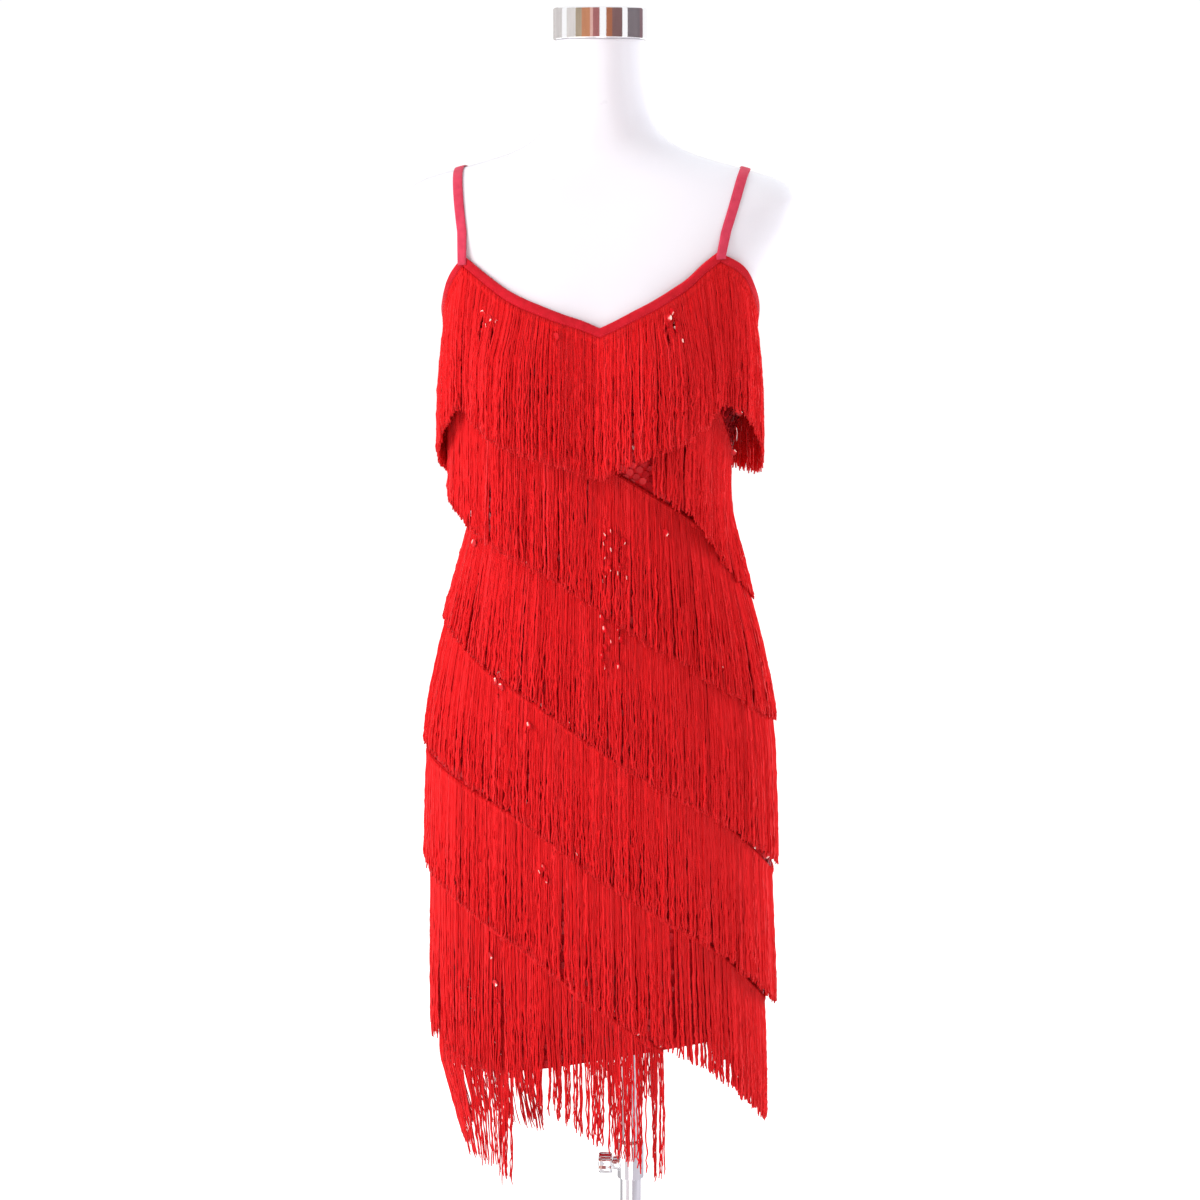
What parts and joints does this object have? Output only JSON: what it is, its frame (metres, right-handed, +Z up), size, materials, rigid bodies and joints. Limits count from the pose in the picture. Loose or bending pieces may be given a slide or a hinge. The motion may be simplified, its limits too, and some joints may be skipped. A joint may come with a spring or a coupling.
{
  "type": "fringed flapper dress on a limbless dress form",
  "caption": "Short sleeveless sheath dress with slanting rows of long fringe, worn by a limbless dress form on a round-based telescopic stand.",
  "frame": {"origin": "centre of the base plate's underside, on the pole's axis, on the floor", "axes": "+Z up along the pole, the dress's front faces -Y, +X is the viewer's right"},
  "size_m": [0.4, 0.34, 1.5608],
  "materials": {
    "sequin_cloth": "red knit cloth with small glossy sequins",
    "fringe": "red rayon fringe of looped cords with a soft sheen",
    "trim": "rose red elastic binding",
    "form_shell": "white glossy moulded shell",
    "chrome": "polished chrome plating",
    "base": "plated steel plate"
  },
  "bodies": {
    "stand": {"base_plate": "base", "base_socket": "chrome", "lower_tube": "chrome", "clamp_collar": "chrome"},
    "form": {"mast": "chrome", "mast_socket": "chrome", "form_floor": "form_shell", "form_torso": "form_shell", "neck_cap": "chrome", "dress_front": "sequin_cloth", "dress_back": "sequin_cloth", "binding_neck": "trim", "binding_back": "trim", "binding_armhole_left": "trim", "binding_armhole_right": "trim", "strap_left": "trim", "strap_right": "trim", "fringe_neck": "fringe", "fringe_bust": "fringe", "fringe_waist": "fringe", "fringe_high_hip": "fringe", "fringe_hip": "fringe", "fringe_thigh": "fringe", "fringe_low": "fringe", "fringe_corner": "fringe"},
    "screw": {"clamp_screw": "chrome"}
  },
  "joints": [
    {"name": "height_slide", "type": "slide", "parent": "stand", "child": "form", "axis": [0, 0, 1], "range_m": [-0.17, 0.1]},
    {"name": "screw_turn", "type": "hinge", "parent": "stand", "child": "screw", "pos_m": [0, 0, 0.352], "axis": [-1, 0, 0], "continuous": true}
  ]
}
